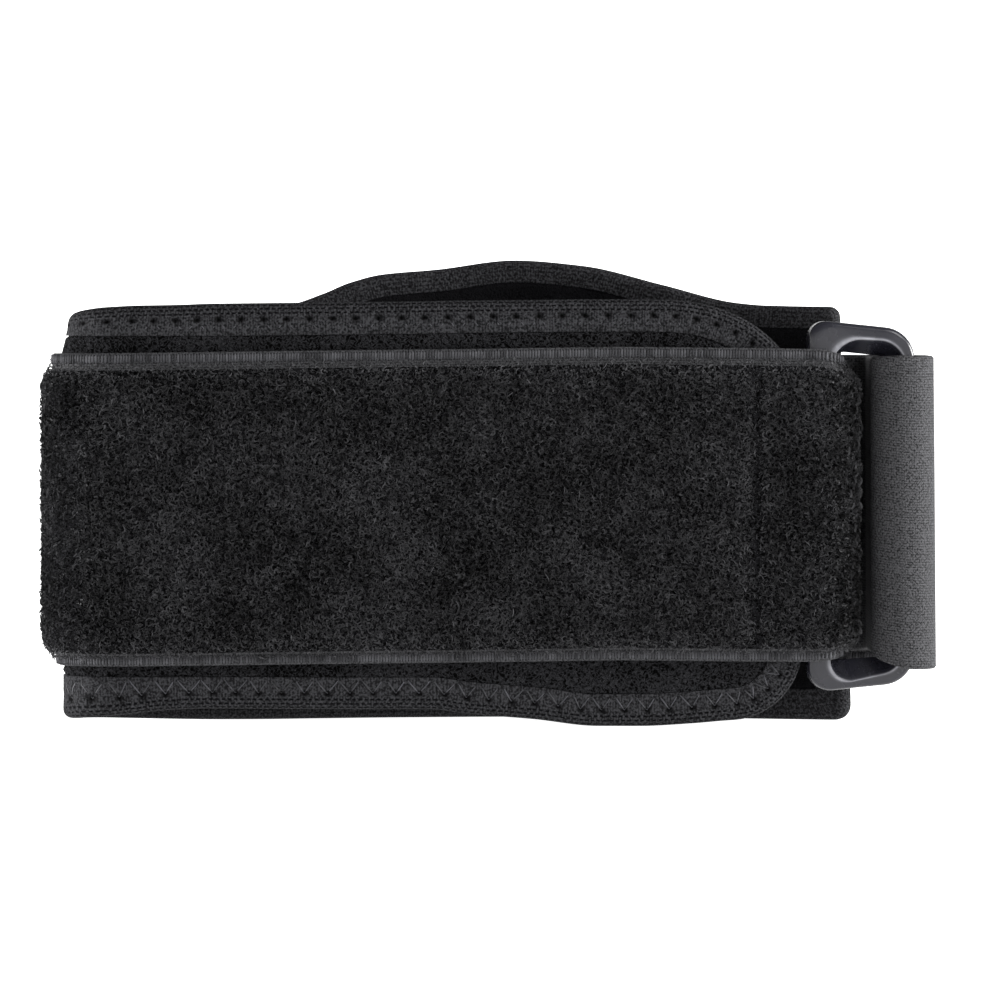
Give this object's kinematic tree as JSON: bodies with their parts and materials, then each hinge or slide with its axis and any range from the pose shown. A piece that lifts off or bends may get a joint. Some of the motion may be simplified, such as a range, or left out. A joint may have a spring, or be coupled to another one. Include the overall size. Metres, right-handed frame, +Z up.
{
  "type": "tennis elbow support",
  "caption": "Padded forearm cuff with mesh edge binding, a loop-pile strap pulled through a plastic ring at one side and fastened back on itself.",
  "frame": {"origin": "under the middle of the whole, on the floor that its lower edge stands on", "axes": "+Z up along the arm, -Y the front that shows the strap, +X towards the ring"},
  "size_m": [0.1446, 0.0422, 0.0751],
  "materials": {
    "pad_cloth": "black brushed knit laminated to foam",
    "mesh_tape": "black knitted mesh tape, folded and zigzag sewn",
    "loop_webbing": "black loop pile on a woven base with ribbed selvages",
    "ring_plastic": "black moulded plastic, satin",
    "hook_tape": "black nylon hook tape"
  },
  "bodies": {
    "root": {"body_pad": "pad_cloth", "edge_binding": "mesh_tape", "loop_strap": "loop_webbing", "pull_ring": "ring_plastic", "hook_tab": "hook_tape"}
  },
  "joints": []
}
